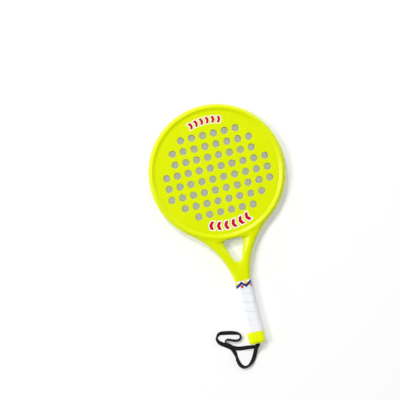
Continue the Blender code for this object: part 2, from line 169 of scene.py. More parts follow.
def stitch(bm, rows):
    for a, b in zip(rows, rows[1:]):
        for i in range(len(a)):
            j = (i + 1) % len(a)
            bm.faces.new((a[i], a[j], b[j], b[i]))


def fillBetween(bm, rings, normal):
    edges = []
    for ring in rings:
        for a, b in zip(ring, ring[1:] + ring[:1]):
            edges.append(bm.edges.get((a, b)) or bm.edges.new((a, b)))
    bmesh.ops.triangle_fill(bm, use_beauty=True, edges=edges, normal=normal)


def arc(x, y, radius, start, end, steps):
    angles = np.linspace(start, end, steps + 1)
    return [(x + radius * math.cos(a), y + radius * math.sin(a)) for a in angles]


def ringOf(radius, steps):
    return arc(0, 0, radius, 0, fullTurn, steps)[:-1]


# a box section with round corners, anticlockwise from its right side
def roundBox(x, z, corner, steps):
    points = []
    for k, (wayX, wayZ) in enumerate(((1, 1), (-1, 1), (-1, -1), (1, -1))):
        points += arc(wayX * x, wayZ * z, corner, k * quarterTurn, (k + 1) * quarterTurn, steps)
    return points


# camera, straight above the paddle and turned with the photograph
cameraSizes = dict(x=-0.0390, y=0.0521, across=0.6784, distance=2.0, roll=-13.44)


def placeCamera():
    size = cameraSizes
    data = bpy.data.cameras.new("camera")
    data.lens = data.sensor_width * size["distance"] / size["across"]
    camera = bpy.data.objects.new("camera", data)
    camera.location = (size["x"], size["y"], panelHigh.z + size["distance"])
    camera.rotation_euler = (0, 0, math.radians(size["roll"]))
    scene.collection.objects.link(camera)
    scene.camera = camera


placeCamera()

# wrist strap: the route's points are x, y from the butt's end, roll in degrees, lift above the floor
strapSizes = dict(width=0.007, thickness=0.001, pairGap=0.00045, mouthGap=0.0003, floorGap=0.00005, length=0.2724,
                  samples=420, fineSteps=12, bightSteps=12, sideRound=4, sharpDegrees=50,
                  selvedge=0.00012, selvedgeFrom=0.75, topPlaces=(0.8, 0.7, 0.35, 0, -0.35, -0.7, -0.8),
                  ribPitch=0.0011, ribLean=24.0, ribDepth=0.0002, yarns=14, yarnDepth=0.35)
strapRoute = [
    (-0.0030, -0.0052, 0, 0.0107), (-0.0058, -0.0112, 0, 0.0076), (-0.0088, -0.0180, 4, 0.0030),
    (-0.0130, -0.0258, 15, 0.0004), (-0.0190, -0.0322, 45, 0), (-0.0256, -0.0358, 66, 0),
    (-0.0322, -0.0358, 48, 0), (-0.0372, -0.0308, 30, 0), (-0.0398, -0.0230, 35, 0),
    (-0.0405, -0.0148, 52, 0), (-0.0423, -0.0059, 6, 0), (-0.0458, 0.0007, 0, 0),
    (-0.0518, 0.0056, 0, 0), (-0.0593, 0.0111, 10, 0), (-0.0644, 0.0160, 40, 0),
    (-0.0664, 0.0215, 60, 0), (-0.0646, 0.0258, 60, 0), (-0.0594, 0.0294, 30, 0),
    (-0.0466, 0.0276, 5, 0), (-0.0344, 0.0247, 25, 0), (-0.0272, 0.0212, 58, 0),
    (-0.0256, 0.0164, 64, 0), (-0.0280, 0.0126, 64, 0), (-0.0332, 0.0112, 60, 0),
    (-0.0387, 0.0125, 60, 0), (-0.0439, 0.0148, 62, 0), (-0.0479, 0.0164, 66, 0),
    (-0.0510, 0.0163, 74, 0.0005), (-0.0532, 0.0142, 78, 0.0013), (-0.0524, 0.0108, 50, 0.0019),
    (-0.0483, 0.0060, 12, 0.0018), (-0.0429, 0.0011, 0, 0.0016), (-0.0379, -0.0012, 0, 0.0015),
    (-0.0336, -0.0029, 0, 0.0010), (-0.0266, -0.0040, 0, 0.0004), (-0.0192, -0.0043, 8, 0.0020),
    (-0.0105, -0.0050, 20, 0.0039), (-0.0040, -0.0056, 25, 0.0059), (-0.0006, -0.0042, 10, 0.0083),
]
legShift = (strapSizes["thickness"] + strapSizes["pairGap"]) / 2
stack = 2 * strapSizes["thickness"] + strapSizes["pairGap"]
pivot = Vector((0, buttY - stack / 2 - strapSizes["mouthGap"], midZ))


def smoothRoute(points):
    given = np.array(points)
    control = np.vstack((2 * given[0] - given[1], given, 2 * given[-1] - given[-2]))
    fine = []
    for p0, p1, p2, p3 in zip(control, control[1:], control[2:], control[3:]):
        for t in np.linspace(0, 1, strapSizes["fineSteps"], endpoint=False):
            swing = (p2 - p0) * t + (2 * p0 - 5 * p1 + 4 * p2 - p3) * t**2
            fine.append(0.5 * (2 * p1 + swing + (3 * p1 - p0 - 3 * p2 + p3) * t**3))
    fine = np.array(fine + [given[-1]])
    steps = np.linalg.norm(np.diff(fine[:, :3], axis=0), axis=1)
    along = np.concatenate(([0], np.cumsum(steps)))
    at = np.linspace(0, along[-1], strapSizes["samples"])
    return np.stack([np.interp(at, along, fine[:, k]) for k in range(4)], axis=1)


# the ribbon's outline, with round edges that stand a little thicker than its middle
def ribbonSection():
    size = strapSizes
    half = size["thickness"] / 2
    width = size["width"] / 2 - half
    middle = half - size["selvedge"]
    right = arc(width, 0, half, -quarterTurn, quarterTurn, size["sideRound"])
    top = [(width * x, middle if abs(x) < size["selvedgeFrom"] else half) for x in size["topPlaces"]]
    return right + top + [(-x, -y) for x, y in right + top]


# the strap is woven polyester: fine cross ribs that catch the light, with painted highlight on their crests and
# painted shade between them, matt black
def wovenPolyester():
    size = strapSizes
    material, add, shader = newMaterial("woven_polyester_black")
    axes = add("SeparateXYZ", [add("UVMap", uv_map="weave")]).outputs
    # twill ribs lean across the tape; 1.1 mm apart, coarser than real yarn so that they show
    along = add("Math MULTIPLY", [axes[0], fullTurn * size["length"] / size["ribPitch"]])
    fold = add("Math PINGPONG", [axes[1], 0.5])
    ripple = add("Math SINE", [add("Math MULTIPLY_ADD", [fold, size["ribLean"], along])])
    yarn = add("Math SINE", [add("Math MULTIPLY", [axes[1], fullTurn * size["yarns"]])])
    weave = add("Math MULTIPLY_ADD", [yarn, size["yarnDepth"], ripple])
    most = 1 + size["yarnDepth"]
    level = add("MapRange", [weave, -most, most, 0.0, 1.0])
    # colour lighter on the ribs' crests and darker between them: painted highlight and painted shade
    ribLightAndShade = add("Mix", {0: level, 6: toLinear("#060607"), 7: toLinear("#1C1D1F")}, data_type="RGBA")
    bump = add("Bump", {"Strength": 0.6, "Distance": size["ribDepth"], "Height": level})
    feed(shader, {"Base Color": ribLightAndShade.outputs[2], "Normal": bump, "Roughness": 0.78, "Specular IOR Level": 0.25,
                  "Sheen Weight": 0.04, "Sheen Roughness": 0.5})
    return material


webbing = wovenPolyester()


# a closed loop may come round with its sides swapped, and part says how much of the strap's length this is
def sweepRibbon(bm, frames, section, closed, shift=0, part=1):
    weave = bm.loops.layers.uv.get("weave") or bm.loops.layers.uv.new("weave")
    rings = []
    for centre, across, normal in frames:
        rings.append([bm.verts.new(centre + across * x + normal * y) for x, y in section])
    count = len(section)
    width = max(x for x, y in section)
    total = len(rings) if closed else len(rings) - 1
    for k in range(total):
        a = rings[k]
        b = rings[(k + 1) % len(rings)]
        step = shift if k + 1 == len(rings) else 0
        for i in range(count):
            j = (i + 1) % count
            face = bm.faces.new((a[i], a[j], b[(j + step) % count], b[(i + step) % count]))
            for loop, row, at in zip(face.loops, (k, k, k + 1, k + 1), (i, j, j, i)):
                loop[weave].uv = (part * row / total, 0.5 + section[at][0] / width / 2)
    if not closed:
        bm.faces.new(rings[0])
        bm.faces.new(rings[-1])


# the strap's two ends, knotted behind the cap's floor, with tails that fill the cap's slot
knotSizes = dict(behind=0.0063, halfX=0.0060, halfY=0.0045, halfZ=0.0045, bandWidth=0.0030, bandThick=0.0015,
                 bandShare=0.2, tailShare=0.04, samples=144, tailSteps=8)


def makeKnot():
    size = knotSizes
    middle = Vector((0, buttY + size["behind"] + size["halfY"], midZ))
    inset = size["bandThick"] / 2 + size["bandWidth"] / 4
    widest, tallest = 2.75, 3  # how far the plain trefoil below reaches
    path = []
    for t in np.linspace(0, fullTurn, size["samples"], endpoint=False):
        x = (math.sin(t) + 2 * math.sin(2 * t)) / widest * (size["halfX"] - inset)
        z = (math.cos(t) - 2 * math.cos(2 * t)) / tallest * (size["halfZ"] - inset)
        path.append(middle + Vector((x, -math.sin(3 * t) * (size["halfY"] - inset), z)))
    frames = []
    for before, spot, after in zip(path[-1:] + path, path, path[1:] + path[:1]):
        tangent = (after - before).normalized()
        across = tangent.cross(spot - middle).normalized()
        frames.append((spot, across, tangent.cross(across)))
    wide = size["bandWidth"] / strapSizes["width"]
    thick = size["bandThick"] / strapSizes["thickness"]
    bm = bmesh.new()
    band = [(x * wide, y * thick) for x, y in ribbonSection()]
    sweepRibbon(bm, frames, band, True, part=size["bandShare"])
    for shift in (legShift, -legShift):
        tail = [Vector((0, y, midZ + shift)) for y in np.linspace(middle.y, buttY, size["tailSteps"])]
        frames = [(spot, Vector((1, 0, 0)), Vector((0, 0, 1))) for spot in tail]
        sweepRibbon(bm, frames, ribbonSection(), False, part=size["tailShare"])
    mesh = meshFrom(bm, "strap_knot_ends", strapSizes["sharpDegrees"])
    return addPiece("strap_knot_ends", mesh, webbing, "paddle", "strap_knot")


def makeStrap(knot):
    size = strapSizes
    half = (size["width"] / 2, size["thickness"] / 2)
    points = [(0, pivot.y, pivot.z + legShift, 0)]
    for x, y, degrees, lift in strapRoute:
        roll = math.radians(degrees)
        rest = half[0] * abs(math.sin(roll)) + half[1] * abs(math.cos(roll))
        points.append((x, buttY + y, rest + lift, roll))
    points.append((0, pivot.y, pivot.z - legShift, 0))
    route = smoothRoute(points)
    frames = []
    last = len(route) - 1
    for k, (x, y, z, roll) in enumerate(route):
        tangent = Vector(route[min(k + 1, last)][:3]) - Vector(route[max(k - 1, 0)][:3])
        if k in (0, last):
            tangent = Vector((0, 1 if k else -1, 0))
        tangent.normalize()
        left = Vector((-tangent.y, tangent.x, 0)).normalized()
        across = left * math.cos(roll) + tangent.cross(left) * math.sin(roll)
        normal = tangent.cross(across)
        lowest = half[0] * abs(across.z) + half[1] * abs(normal.z) + size["floorGap"]
        frames.append((Vector((x, y, max(z, lowest))), across, normal))
    # the legs meet in a small bight at the slot's mouth
    for k in range(1, size["bightSteps"]):
        turn = math.pi * k / size["bightSteps"]
        outward = Vector((0, math.sin(turn), -math.cos(turn)))
        frames.append((pivot + outward * legShift, Vector((-1, 0, 0)), -outward))
    bm = bmesh.new()
    section = ribbonSection()
    sweepRibbon(bm, frames, section, True, len(section) // 2)
    mesh = meshFrom(bm, "strap_loop", size["sharpDegrees"])
    strap = addPiece("strap_loop", mesh, webbing, "strap", "wrist_strap")


makeStrap(makeKnot())
print("camera and strap done")

# frame mouldings: head ring, throat and the handle's core, in two halves that meet on the mid plane
frameSizes = dict(flareLength=0.0899, neckWidth=0.025, seam=0.00015, seamBevel=0.0003,
                  edgeWidth=0.0060, edgeDrop=0.0064, crownWidth=0.0125, crownDrop=0.002,
                  openBite=0.0015, openLength=0.0402, openCornerX=0.0106, openCornerRadius=0.0062,
                  openTipRadius=0.008, openRows=0.0045, openWidth=0.003, openDrop=0.002,
                  openCrownWidth=0.0095, openCrownDrop=0.0015,
                  armSpan=0.024, armCrest=0.66, armFall=0.26, armCurve=1.7, armBlend=0.0035,
                  armFade=0.72, fadeStart=0.010, fadeLength=0.022,
                  rimSlope=0.0063, webInset=0.0061, webBlend=0.0066, webDrop=0.0013,
                  pocketGap=0.0003, ledgeWidth=0.0036, ledgeGap=0.0003,
                  coreWidth=0.021, coreThickness=0.015, coreCorner=0.0042, coreSteps=8,
                  headSteps=300, throatSteps=60, edgeSteps=12, slopeSteps=14, ringSteps=240, cornerSteps=14,
                  sideSteps=18, shoulderSteps=12, spacing=0.0013, rowShare=0.866, fillShare=0.8, slopeShare=0.125,
                  planGap=1e-8)
flareY = -(headRadius + frameSizes["flareLength"])
neckHalf = frameSizes["neckWidth"] / 2
flareRadius = (flareY**2 + neckHalf**2 - headRadius**2) / (2 * (headRadius - neckHalf))
flareX = neckHalf + flareRadius
pocketRadius = panelRadius + frameSizes["pocketGap"]
crestRadius = pocketRadius + frameSizes["rimSlope"]


def outline(inset):
    lean = math.atan2(flareY, flareX)
    low = math.pi - math.asin((neckY - headY - flareY) / (flareRadius + inset))
    right = arc(flareX, flareY, flareRadius + inset, low, math.pi + lean, frameSizes["throatSteps"])
    head = arc(0, 0, headRadius - inset, lean, math.pi - lean, frameSizes["headSteps"])
    return right + head[1:-1] + [(-x, y) for x, y in reversed(right)]


def openingOutline(offset):
    size = frameSizes
    corner, tipRadius, steps = size["openCornerRadius"], size["openTipRadius"], size["cornerSteps"]
    topY = -(headRadius - size["openBite"]) - corner
    tipY = -(headRadius - size["openBite"]) - size["openLength"] + tipRadius
    rise = topY - tipY
    swing = math.acos((tipRadius - corner) / math.hypot(size["openCornerX"], rise))
    normal = math.atan2(rise, size["openCornerX"]) - swing
    right = arc(size["openCornerX"], topY, corner + offset, normal, quarterTurn, steps)
    left = [(-x, y) for x, y in reversed(right)]
    tip = arc(0, tipY, tipRadius + offset, math.pi - normal, fullTurn + normal, 2 * steps)
    bends = (right, left, tip)
    points = []
    for bend, following in zip(bends, bends[1:] + bends[:1]):
        side = np.linspace(bend[-1], following[0], size["sideSteps"] + 1)[1:-1]
        points += bend + [tuple(spot) for spot in side]
    return points


mouthLine = openingOutline(0)
mouthSides = list(zip(mouthLine, mouthLine[1:] + mouthLine[:1]))


def inPlan(x, y):
    if math.hypot(x, y) < pocketRadius or math.hypot(abs(x) - flareX, y - flareY) < flareRadius:
        return False
    return min((b[0] - a[0]) * (y - a[1]) - (b[1] - a[1]) * (x - a[0]) for a, b in mouthSides) < 0


# height of the moulded skin: round edges, arms like round bars and a bead round the head that stands above them
def skinHeight(points):
    size = frameSizes
    spots = np.array(points)

    def reach(line):
        best = np.full(len(spots), np.inf)
        for start, end in zip(line, line[1:]):
            run = end - start
            share = np.clip((spots - start) @ run / (run @ run), 0, 1)
            best = np.minimum(best, np.linalg.norm(spots - start - share[:, None] * run, axis=1))
        return best

    def turned(away, width, drop):
        share = np.clip(1 - away / width, 0, 1)
        return drop * (1 - np.sqrt(1 - share**2))

    def crowned(away, width, drop):
        return drop * np.clip(1 - away / width, 0, 1) ** 2

    def eased(share):
        share = np.clip(share, 0, 1)
        return share**2 * (3 - 2 * share)

    radius = np.hypot(spots[:, 0], spots[:, 1])
    edge = reach(np.array(outline(0)))
    mouth = reach(np.array(mouthLine + mouthLine[:1]))
    # an arm falls off from its crest to the opening, most just below the head and less towards the neck
    past = radius - headRadius
    arm = eased(past / size["armBlend"])
    span = np.minimum(mouth + edge, size["armSpan"])
    fall = size["armFall"] * (1 - size["armFade"] * eased((past - size["fadeStart"]) / size["fadeLength"]))
    lean = np.clip(1 - mouth / (size["armCrest"] * span), 0, 1)
    web = crowned(edge, size["crownWidth"], size["crownDrop"]) + arm * fall * span * lean ** size["armCurve"]
    web += (1 - arm) * crowned(mouth, size["openCrownWidth"], size["openCrownDrop"])
    web = (web + size["webDrop"]) * eased((past + size["webInset"]) / size["webBlend"])
    slope = (frontHigh.z - panelHigh.z) * eased((crestRadius - radius) / size["rimSlope"])
    rounds = turned(edge, size["edgeWidth"], size["edgeDrop"]) + turned(mouth, size["openWidth"], size["openDrop"])
    return halfThick - rounds - web - slope


# points of the skin that keep a distance from those already there
def spaced(points, others, gap):
    tree = kdtree.KDTree(len(others))
    for k, (x, y) in enumerate(others):
        tree.insert((x, y, 0), k)
    tree.balance()
    return [(x, y) for x, y in points if tree.find((x, y, 0))[2] > gap]


# the skin in plan: rows that follow each edge, closer where it is steep, and an even spread between them
def skinPlan():
    size = frameSizes
    step = size["spacing"]
    shares = [1 - math.cos(quarterTurn * k / size["edgeSteps"]) for k in range(1, size["edgeSteps"] + 1)]
    rows = [outline(size["edgeWidth"] * share) for share in shares]
    edge = outline(0)
    corner = [row[0] for row in rows]
    middle = np.linspace(-corner[-1][0], corner[-1][0], size["shoulderSteps"] + 1)[1:-1]
    shoulder = [(-x, y) for x, y in corner] + [(x, edge[0][1]) for x in middle] + corner[::-1]
    loops = (edge + shoulder, mouthLine, ringOf(pocketRadius, size["ringSteps"]))
    points = sum(loops, [])
    for row in rows:
        points += row[1:-1]
    for share in shares:
        points += openingOutline(size["openRows"] * share)
    slopes = []
    for k in range(1, size["slopeSteps"] + 1):
        slopes += ringOf(pocketRadius + size["rimSlope"] * k / size["slopeSteps"], size["ringSteps"])
    points += spaced(slopes, points, step * size["slopeShare"])
    fill = []
    across, down = int(headRadius / step / 2), int(headRadius / step)
    for row in range(down):
        for column in range(-across, across):
            fill.append(((column + row % 2 / 2) * step, edge[0][1] + (row + 0.5) * step * size["rowShare"]))
    fill = [p for p in fill if math.hypot(*p) > crestRadius and inPlan(*p)]
    points += spaced(fill, points, step * size["fillShare"])
    ends = np.cumsum([0] + [len(loop) for loop in loops])
    edges = []
    for start, end in zip(ends, ends[1:]):
        edges += [(k, k + 1) for k in range(start, end - 1)] + [(end - 1, start)]
    found = geometry.delaunay_2d_cdt([Vector(p) for p in points], edges, [], 0, size["planGap"])
    plan, faces, origins = found[0], found[2], found[3]
    kept = [f for f in faces if inPlan(*(sum((plan[k] for k in f), Vector((0, 0))) / 3))]
    place = {given: k for k, group in enumerate(origins) for given in group}
    return plan, kept, [[place[k] for k in range(a, b)] for a, b in zip(ends, ends[1:])]


def ovalSection(offset, steps):
    size = frameSizes
    corner = size["coreCorner"]
    return roundBox(size["coreWidth"] / 2 - corner, size["coreThickness"] / 2 - corner, corner + offset, steps)


# moulded ABS: one even colour with a faint flow mottle, an orange-peel skin and a satin shine
absSizes = dict(flow=0.045, haze=0.012, peel=0.0026, peelDepth=0.00008)


def mouldedAbs(name, light, dark):
    material, add, shader = newMaterial(name)
    place = add("TexCoord").outputs["Object"]
    flow = add("TexNoise", {"Vector": place, "Scale": 1 / absSizes["flow"], "Detail": 3.0})
    colour = add("Mix", {0: flow, 6: toLinear(dark), 7: toLinear(light)}, data_type="RGBA")
    haze = add("TexNoise", {"Vector": place, "Scale": 1 / absSizes["haze"], "Detail": 4.0})
    shine = add("MapRange", [haze, 0.3, 0.7, 0.22, 0.31])
    # real orange peel is about 1 mm wide, drawn at 2.6 mm so that it shows
    peel = add("TexNoise", {"Vector": place, "Scale": 1 / absSizes["peel"], "Detail": 2.0})
    bump = add("Bump", {"Strength": 0.25, "Distance": absSizes["peelDepth"], "Height": peel})
    feed(shader, {"Base Color": colour.outputs[2], "Roughness": shine, "Normal": bump, "IOR": 1.53,
                  "Specular IOR Level": 0.2})
    return material, add, shader


limeTones = ("#E1EF03", "#D7E601")
limeAbs = mouldedAbs("moulded_abs_lime", *limeTones)[0]
plan, planFaces, planLoops = skinPlan()
heights = skinHeight(plan)


def makeFrame(name, side, node):
    size = frameSizes
    bm = bmesh.new()

    def raised(points, height):
        return [bm.verts.new((x, headY + y, midZ + side * height)) for x, y in points]

    skin = [bm.verts.new((x, headY + y, midZ + side * h)) for (x, y), h in zip(plan, heights)]
    for face in planFaces:
        bm.faces.new([skin[k] for k in face])
    edge, mouth, pocket = ([skin[k] for k in loop] for loop in planLoops)

    # walls from the skin's edges down to the seam, where they are bevelled
    seam, bevel = size["seam"], size["seamBevel"]
    drawn = outline(bevel)
    rim = [(v.co.x, v.co.y - headY) for v in edge]
    shrink = drawn[0][0] / rim[0][0]
    shoulder = [(x * shrink, y) for x, y in rim[len(drawn):]]
    edgeRows = [edge, raised(rim, seam + bevel), raised(drawn + shoulder, seam)]
    mouthRows = [mouth, raised(mouthLine, seam + bevel), raised(openingOutline(bevel), seam)]
    ledge = panelLow.z - midZ - size["ledgeGap"]
    pocketRows = [pocket]
    for inset, height in ((0, ledge), (size["ledgeWidth"], ledge), (size["ledgeWidth"], seam)):
        pocketRows.append(raised(ringOf(pocketRadius - inset, size["ringSteps"]), height))
    for rows in (edgeRows, mouthRows, pocketRows):
        stitch(bm, rows)
    fillBetween(bm, (edgeRows[-1], mouthRows[-1], pocketRows[-1]), (0, 0, -side))

    # the core that the grip is wound on, a shell of its own from the shoulder to its end in the cap
    half = [(x, z) for x, z in ovalSection(0, size["coreSteps"]) if z > 0]
    section = [(half[0][0], seam)] + half + [(half[-1][0], seam)]
    ends = []
    for y in (neckY, frontLow.y):
        ends.append([bm.verts.new((x, y, midZ + side * z)) for x, z in section])
        bm.faces.new(ends[-1])
    stitch(bm, ends)
    addPiece(name, meshFrom(bm, name), limeAbs, "paddle", node)


makeFrame("front_moulding", 1, "front_frame")
makeFrame("rear_moulding", -1, "rear_frame")

# perforated panels: a grid of holes with rounded lips, kept inside a round field
panelSizes = dict(holeRadius=0.0061, lip=0.0007, pitch=0.019, columns=10, rows=8, fieldRadius=0.090,
                  fieldShift=-0.003, edgeGap=0.00004, sleeveWall=0.001, draft=0.0004, weld=0.00002,
                  holeSides=36, rimSides=240, lipSteps=5, flatFrom=0.99999, sharpDegrees=35)


def panelTree():
    tree, add, given = newTree(
        "perforatedPanel", Vector="centre", Material="material", Int="columns rows holeSides rimSides lipSteps",
        Float="panelRadius holeRadius lip sleeveWall draft pitch fieldRadius fieldShift faceHeight underHeight "
              "tipHeight turn weld")
    face, under, tipHeight, lip = (given[key] for key in ("faceHeight", "underHeight", "tipHeight", "lip"))

    # hole centres: a square grid, less what lies outside the field
    gaps = [add("Math SUBTRACT", [given[key], 1.0]) for key in ("columns", "rows")]
    spans = [add("Math MULTIPLY", [gap, given["pitch"]]) for gap in gaps]
    grid = add("MeshGrid", [*spans, given["columns"], given["rows"]])
    points = add("MeshToPoints", {"Mesh": grid})
    middle = add("CombineXYZ", {"Y": given["fieldShift"]})
    where = add("InputPosition")
    reach = add("VectorMath DISTANCE", [where, middle]).outputs["Value"]
    outside = add("Compare GREATER_THAN", [reach, given["fieldRadius"]])
    centres = add("DeleteGeometry", [points, outside], domain="POINT")

    # the two flat skins
    mouthRadius = add("Math ADD", [given["holeRadius"], lip])
    boreRadius = add("Math ADD", [given["holeRadius"], given["draft"]])
    footRadius = add("Math ADD", [boreRadius, given["sleeveWall"]])
    rim = add("CurvePrimitiveCircle", {"Resolution": given["rimSides"], "Radius": given["panelRadius"]})
    skins = []
    for radius, height in ((mouthRadius, face), (footRadius, under)):
        mouth = add("CurvePrimitiveCircle", {"Resolution": given["holeSides"], "Radius": radius})
        mouths = add("InstanceOnPoints", {"Points": centres, "Instance": mouth})
        edges = feed(add("JoinGeometry", [rim]), [add("RealizeInstances", [mouths])])
        lift = add("CombineXYZ", {"Z": height})
        skins.append(add("SetPosition", {"Geometry": add("FillCurve", {"Curve": edges}), "Offset": lift}))

    # one hole's lining: round lip, bore, the sleeve's tip and its outside, by steps down a tube
    steps = add("Math ADD", [given["lipSteps"], 3.0])
    tube = add("MeshCylinder", {"Vertices": given["holeSides"], "Side Segments": steps, "Depth": 1.0},
               fill_type="NONE")
    axes = add("SeparateXYZ", [where]).outputs
    step = add("Math MULTIPLY", [add("Math SUBTRACT", [0.5, axes[2]]), steps])
    share = add("Math DIVIDE", [step, given["lipSteps"]], use_clamp=True)
    turn = add("Math MULTIPLY", [share, quarterTurn])
    past = add("Math SUBTRACT", [step, given["lipSteps"]])
    bore, tip, back = (add("Math SUBTRACT", [past, before], use_clamp=True) for before in (0.0, 1.0, 2.0))
    ringIn = add("Math SUBTRACT", [mouthRadius, add("Math MULTIPLY", [lip, add("Math SINE", [turn])])])
    ringDown = add("Math MULTIPLY_ADD", [given["draft"], bore, ringIn])
    ringOut = add("Math MULTIPLY_ADD", [given["sleeveWall"], tip, ringDown])
    lipFoot = add("Math SUBTRACT", [face, lip])
    lipHeight = add("Math MULTIPLY_ADD", [lip, add("Math COSINE", [turn]), lipFoot])
    boreFall = add("Math SUBTRACT", [tipHeight, lipFoot])
    boreHeight = add("Math MULTIPLY_ADD", [boreFall, bore, lipHeight])
    sleeveRise = add("Math SUBTRACT", [under, tipHeight])
    height = add("Math MULTIPLY_ADD", [sleeveRise, back, boreHeight])
    shaped = add("CombineXYZ", [*(add("Math MULTIPLY", [axis, ringOut]) for axis in axes[:2]), height])
    lining = add("SetPosition", {"Geometry": tube, "Position": shaped})
    linings = add("InstanceOnPoints", {"Points": centres, "Instance": lining})

    # the panel's own edge
    thickness = add("Math SUBTRACT", [face, under])
    wall = add("MeshCylinder", {"Vertices": given["rimSides"], "Radius": given["panelRadius"], "Depth": thickness},
               fill_type="NONE")
    lift = add("CombineXYZ", {"Z": add("Math MULTIPLY", [add("Math ADD", [face, under]), 0.5])})
    edge = add("SetPosition", {"Geometry": wall, "Offset": lift})

    whole = add("JoinGeometry")
    for part in (linings, *skins, edge):
        feed(whole, [part])
    spin = add("CombineXYZ", {"Y": given["turn"]})
    closeTree(add, given, add("Transform", {"Geometry": whole, "Translation": given["centre"], "Rotation": spin}))
    return tree


def makePanel(name, values, node):
    mesh, bm = meshFromNodes(name, panels, values)
    flat = {face.index: abs(face.normal.z) > values["flatFrom"] for face in bm.faces}
    for edge in bm.edges:
        sides = {flat[face.index] for face in edge.link_faces}
        edge.smooth = len(sides) == 1 and edge.calc_face_angle(0) < math.radians(values["sharpDegrees"])
    for face in bm.faces:
        face.smooth = True
    bm.to_mesh(mesh)
    bm.free()
    addPiece(name, mesh, values["material"], "paddle", node)


# print on the front: rows of red bars with white edges on two arcs, one above and one below the holes
printSizes = dict(
    upper=dict(side=1, radius=0.0905, height=0.0112, pitch=0.0098, bar=0.0046, lean=0.35, count=6, edge=0.0014),
    lower=dict(side=-1, radius=0.0905, height=0.0140, pitch=0.0128, bar=0.0058, lean=-0.45, count=6, edge=0.0017),
)


# the same ABS with flat inks printed on it
def printedAbs(name, ink, paper):
    material, add, shader = mouldedAbs(name, *limeTones)
    colour = shader.inputs["Base Color"].links[0].from_socket
    place = add("TexCoord").outputs["Object"]
    x, y, z = add("SeparateXYZ", [add("Mapping", {"Vector": place, "Location": (0, -headY, -midZ)})]).outputs
    front = add("Math GREATER_THAN", [z, 0.0])
    reach = add("VectorMath LENGTH", [add("CombineXYZ", [x, y])]).outputs["Value"]
    for row in printSizes.values():
        turn = add("Math ARCTAN2", [x, add("Math MULTIPLY", [y, row["side"]])])
        level = add("Math ABSOLUTE", [add("Math SUBTRACT", [reach, row["radius"]])])
        run = add("Math MULTIPLY", [turn, row["radius"]])
        slant = add("Math MULTIPLY_ADD", [level, row["lean"], run])
        cell = add("Math DIVIDE", [slant, row["pitch"]])
        past = add("Math SUBTRACT", [add("Math ABSOLUTE", [cell]), row["count"] / 2])
        beyond = add("Math MULTIPLY", [past, row["pitch"]])
        away = add("Math ABSOLUTE", [add("Math SUBTRACT", [add("Math FRACT", [cell]), 0.5])])
        width = add("Math MULTIPLY_ADD", [away, row["pitch"], -row["bar"] / 2])
        tall = add("Math SUBTRACT", [level, row["height"] / 2])
        signed = add("Math MAXIMUM", [add("Math MAXIMUM", [width, tall]), beyond])
        for limit, code in ((row["edge"], paper), (0.0, ink)):
            mask = add("Math MULTIPLY", [add("Math LESS_THAN", [signed, limit]), front])
            colour = add("Mix", {0: mask, 6: colour, 7: toLinear(code)}, data_type="RGBA").outputs[2]
    feed(shader, {"Base Color": colour})
    return material


panels = panelTree()
underHeight = panelLow.z - midZ
shared = panelSizes | dict(panelRadius=pocketRadius - panelSizes["edgeGap"], centre=(0.0, headY, midZ),
                           underHeight=underHeight)
makePanel("front_panel", shared | dict(
    sleeveWall=0.0, draft=0.0, turn=0.0, faceHeight=panelHigh.z - midZ, tipHeight=underHeight,
    material=printedAbs("moulded_abs_printed", "#C3152F", "#FBF7F2")), "front_face")
# the sleeves narrow towards the rear, as they have to leave their mould
makePanel("rear_panel", shared | dict(
    holeRadius=panelSizes["holeRadius"] - panelSizes["draft"], turn=math.pi, faceHeight=midZ - backLow.z,
    tipHeight=frameSizes["ledgeGap"] - underHeight, material=limeAbs), "rear_face")
print("head done")

# wound grip: one cushioned strip from the butt up, each turn lapping the one below it
gripSizes = dict(pitch=0.016, seam=0.00003, thickness=0.0024, inside=0.0003, lapStep=0.0003, edgeSoftness=0.2,
                 tip=0.0006, weld=0.00001, turnSteps=96, sectionPoints=22, cornerPoints=10, sharpDegrees=50,
                 cloud=0.014, grain=0.0009, grainDepth=0.00012, wornFrom=0.88, worn=0.3)


